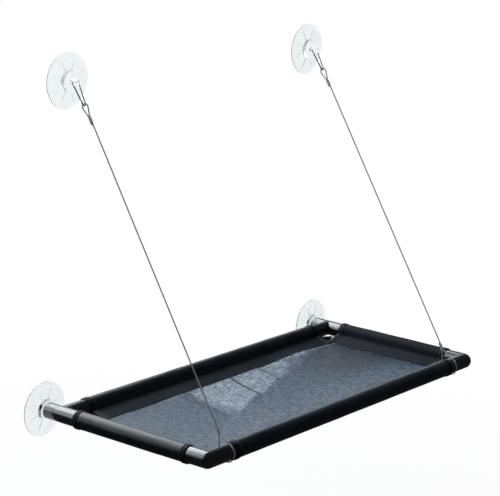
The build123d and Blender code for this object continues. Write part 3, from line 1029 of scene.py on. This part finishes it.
def add_studio_floor():
    """A pale floor well below the bed. It keeps a soft shadow, and vanishes when seen from below."""
    drop = 0.6
    reach = 30.0
    material = new_material("Studio floor, white paper")
    tree = material.node_tree
    glow = add_node(tree, "ShaderNodeEmission", {"Color": (1, 1, 1, 1), "Strength": seen_directly(tree)})
    paper = add_node(tree, "ShaderNodeBsdfDiffuse", {"Color": (0.8, 0.8, 0.8, 1)})
    place = add_node(tree, "ShaderNodeTexCoord").outputs["Object"]
    away = add_node(tree, "ShaderNodeVectorMath", {0: place}, operation="LENGTH")
    share = add_node(tree, "ShaderNodeMapRange",
                     {"Value": away.outputs["Value"], "From Min": 0.9, "From Max": 2.2,
                      "To Min": 0.9, "To Max": 1.0}, interpolation_type="SMOOTHSTEP")
    lit = add_node(tree, "ShaderNodeMixShader", {0: share, 1: paper, 2: glow})
    clear = add_node(tree, "ShaderNodeBsdfTransparent")
    below = add_node(tree, "ShaderNodeNewGeometry")
    mixed = add_node(tree, "ShaderNodeMixShader", {0: below.outputs["Backfacing"], 1: lit, 2: clear})
    show(material, mixed)
    corners = [(x * reach, y * reach, -drop) for x, y in ((-1, -1), (1, -1), (1, 1), (-1, 1))]
    floor = add_piece("studio_floor", corners, [(0, 1, 2, 3)], material)
    floor.visible_glossy = False


class CATPERCH_OT_stage(bpy.types.Operator):
    """Adds the camera, the lamps, the white surroundings and the floor"""

    bl_idname = "catperch.stage"
    bl_label = "Studio and camera"

    def execute(self, context):
        add_camera()
        add_world()
        add_studio_floor()
        add_softboxes()
        context.scene.view_settings.view_transform = "Standard"
        return {"FINISHED"}


class CATPERCH_OT_ropes(bpy.types.Operator):
    """Lays the strands of the two steel ropes along their looped routes"""

    bl_idname = "catperch.ropes"
    bl_label = "Steel ropes"

    def execute(self, context):
        build_ropes()
        return {"FINISHED"}


class CATPERCH_OT_floor(bpy.types.Operator):
    """Makes the sagging open-mesh floor"""

    bl_idname = "catperch.floor"
    bl_label = "Mesh floor"

    def execute(self, context):
        build_floor()
        return {"FINISHED"}


class CATPERCH_OT_sleeves(bpy.types.Operator):
    """Wraps the four rails in their fabric sleeves"""

    bl_idname = "catperch.sleeves"
    bl_label = "Sleeves"

    def execute(self, context):
        build_sleeves()
        return {"FINISHED"}


class CATPERCH_OT_bindings(bpy.types.Operator):
    """Binds the ends of the sleeves with ridged tape"""

    bl_idname = "catperch.bindings"
    bl_label = "Binding tapes"

    def execute(self, context):
        build_bindings()
        return {"FINISHED"}


class CATPERCH_OT_stitching(bpy.types.Operator):
    """Sews the seams of the sleeves and the floor"""

    bl_idname = "catperch.stitching"
    bl_label = "Stitching"

    def execute(self, context):
        build_stitching()
        return {"FINISHED"}


class CATPERCH_OT_tubes(bpy.types.Operator):
    """Finishes the tubes and their moulded fittings in black PVC"""

    bl_idname = "catperch.tubes"
    bl_label = "Tubes and fittings"

    def execute(self, context):
        tube = gloss_plastic("Black PVC, extruded", 4.0 * mm)
        fitting = gloss_plastic("Black PVC, moulded", 2.5 * mm)
        dress([f"{rail}_rail" for rail in rails], tube)
        dress(["front_left_elbow", "front_right_elbow", "rear_left_tee", "rear_right_tee"], fitting)
        return {"FINISHED"}


class CATPERCH_OT_cups(bpy.types.Operator):
    """Finishes the four suction cups in clear PVC"""

    bl_idname = "catperch.cups"
    bl_label = "Suction cups"

    def execute(self, context):
        dress(["lower_left_cup", "lower_right_cup", "upper_left_cup", "upper_right_cup"], clear_pvc())
        return {"FINISHED"}


class CATPERCH_OT_hangers(bpy.types.Operator):
    """Finishes the wire hooks and the crimped ferrules in bare metal"""

    bl_idname = "catperch.hangers"
    bl_label = "Hooks and ferrules"

    def execute(self, context):
        wire = bare_metal("Steel wire, drawn and plated", colours().steel, 0.12, 0.25, 3.0 * mm)
        crimped = bare_metal("Aluminium, crimped", colours().ferrule, 0.35, 0.55, 0.8 * mm, metallic=0.5)
        for side in ("left", "right"):
            dress([f"{side}_hook"], wire)
            dress([f"{side}_lower_ferrule", f"{side}_upper_ferrule"], crimped)
        return {"FINISHED"}


operators = (
    CATPERCH_OT_stage, CATPERCH_OT_ropes, CATPERCH_OT_sleeves, CATPERCH_OT_floor, CATPERCH_OT_bindings,
    CATPERCH_OT_stitching, CATPERCH_OT_tubes, CATPERCH_OT_cups, CATPERCH_OT_hangers,
)


class CATPERCH_PT_panel(bpy.types.Panel):
    """Lists the sizes, the colours and the steps"""

    bl_idname = "CATPERCH_PT_panel"
    bl_label = "Window mounted cat perch"
    bl_space_type = "VIEW_3D"
    bl_region_type = "UI"
    bl_category = "Cat perch"

    def draw(self, context):
        for group in (context.scene.perch_sizes, context.scene.perch_colours):
            box = self.layout.box()
            for name in group.__annotations__:
                box.prop(group, name)
        for operator in operators:
            self.layout.operator(operator.bl_idname)


classes = (PerchSizes, PerchColours, *operators, CATPERCH_PT_panel)


def register():
    for item in classes:
        bpy.utils.register_class(item)
    bpy.types.Scene.perch_sizes = bpy.props.PointerProperty(type=PerchSizes)
    bpy.types.Scene.perch_colours = bpy.props.PointerProperty(type=PerchColours)


def unregister():
    del bpy.types.Scene.perch_colours
    del bpy.types.Scene.perch_sizes
    for item in reversed(classes):
        bpy.utils.unregister_class(item)


def main():
    register()
    for operator in operators:
        group, name = operator.bl_idname.split(".")
        getattr(getattr(bpy.ops, group), name)()


if __name__ == "__main__":
    main()
